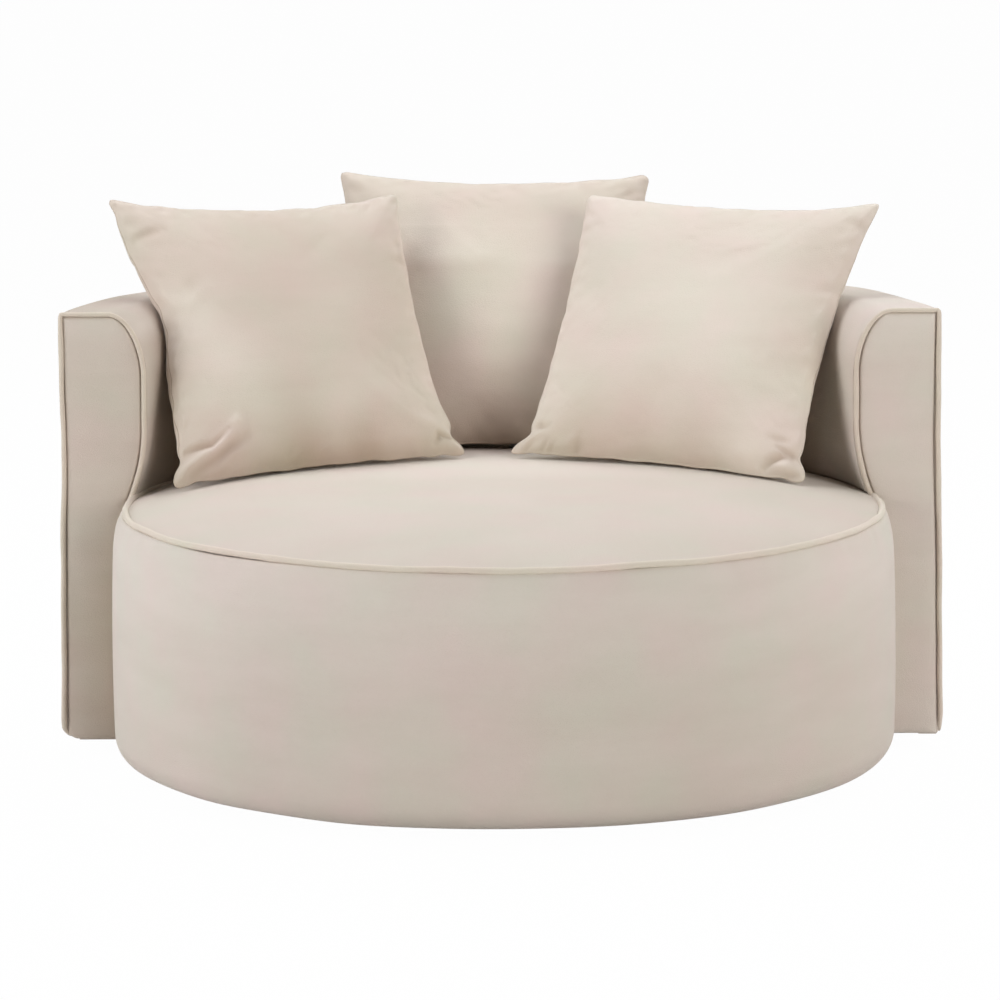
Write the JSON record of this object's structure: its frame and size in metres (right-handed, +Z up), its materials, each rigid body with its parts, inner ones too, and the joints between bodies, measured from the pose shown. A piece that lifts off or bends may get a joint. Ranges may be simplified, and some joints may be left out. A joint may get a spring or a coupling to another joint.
{
  "type": "cuddle chair",
  "caption": "Round velvet love-seat: a drum seat with a piped edge, a curved wall that is back and arms in one, and loose scatter cushions.",
  "frame": {"origin": "on the floor, midway between the front of the drum and the back of the wall, on the chair's centre line", "axes": "+X across the chair, to the right as seen from the front; +Y to the back; +Z up"},
  "size_m": [1.4528, 1.365, 0.9012],
  "materials": {
    "velvet": "soft short-pile velvet",
    "piping_velvet": "velvet-covered cord",
    "cushion_velvet": "soft short-pile velvet",
    "foam": "open-cell upholstery foam",
    "wadding": "polyester fibre",
    "timber": "planed softwood",
    "plywood": "raw plywood",
    "hardboard": "raw hardboard",
    "webbing": "woven elastic webbing",
    "lining": "non-woven lining",
    "glide_plastic": "moulded",
    "zip_plastic": "moulded coil zip",
    "steel": "zinc plated"
  },
  "bodies": {
    "chair": {"glide_1": "glide_plastic", "glide_2": "glide_plastic", "glide_3": "glide_plastic", "glide_4": "glide_plastic", "glide_5": "glide_plastic", "dust_cover": "lining", "wall_dust_cover": "lining", "drum_base_ring": "plywood", "drum_deck_ring": "plywood", "wall_base_rail": "plywood", "wall_top_rail": "plywood", "left_arm_board": "plywood", "right_arm_board": "plywood", "drum_post_1": "timber", "drum_post_2": "timber", "drum_post_3": "timber", "drum_post_4": "timber", "drum_post_5": "timber", "drum_post_6": "timber", "drum_post_7": "timber", "wall_upright_1": "timber", "wall_upright_2": "timber", "wall_upright_3": "timber", "wall_upright_4": "timber", "wall_upright_5": "timber", "wall_bolt_1": "steel", "wall_bolt_2": "steel", "wall_bolt_3": "steel", "drum_hoop_board": "hardboard", "wall_inner_board": "hardboard", "wall_outer_board": "hardboard", "cross_strap_1": "webbing", "cross_strap_2": "webbing", "cross_strap_3": "webbing", "long_strap_1": "webbing", "long_strap_2": "webbing", "long_strap_3": "webbing", "seat_foam": "foam", "drum_side_foam": "foam", "wall_foam": "foam", "seat_wadding": "wadding", "wall_outside_wadding": "wadding", "seat_top_cover": "velvet", "drum_side_cover": "velvet", "wall_inside_cover": "velvet", "wall_outside_cover": "velvet", "left_arm_facing": "velvet", "right_arm_facing": "velvet", "seat_piping": "piping_velvet", "left_arm_piping": "piping_velvet", "right_arm_piping": "piping_velvet"},
    "rear_cushion": {"rear_cushion_cover": "cushion_velvet", "rear_cushion_fill": "wadding", "rear_cushion_zip": "zip_plastic"},
    "left_cushion": {"left_cushion_cover": "cushion_velvet", "left_cushion_fill": "wadding", "left_cushion_zip": "zip_plastic"},
    "right_cushion": {"right_cushion_cover": "cushion_velvet", "right_cushion_fill": "wadding", "right_cushion_zip": "zip_plastic"}
  },
  "joints": [
    {"name": "rear_cushion_lift", "type": "slide", "parent": "chair", "child": "rear_cushion", "axis": [0, 0.3827, 0.9239], "range_m": [0, 0.45]},
    {"name": "left_cushion_lift", "type": "slide", "parent": "chair", "child": "left_cushion", "axis": [0, 0, 1], "range_m": [0, 0.45]},
    {"name": "right_cushion_lift", "type": "slide", "parent": "chair", "child": "right_cushion", "axis": [0, 0, 1], "range_m": [0, 0.45]}
  ]
}
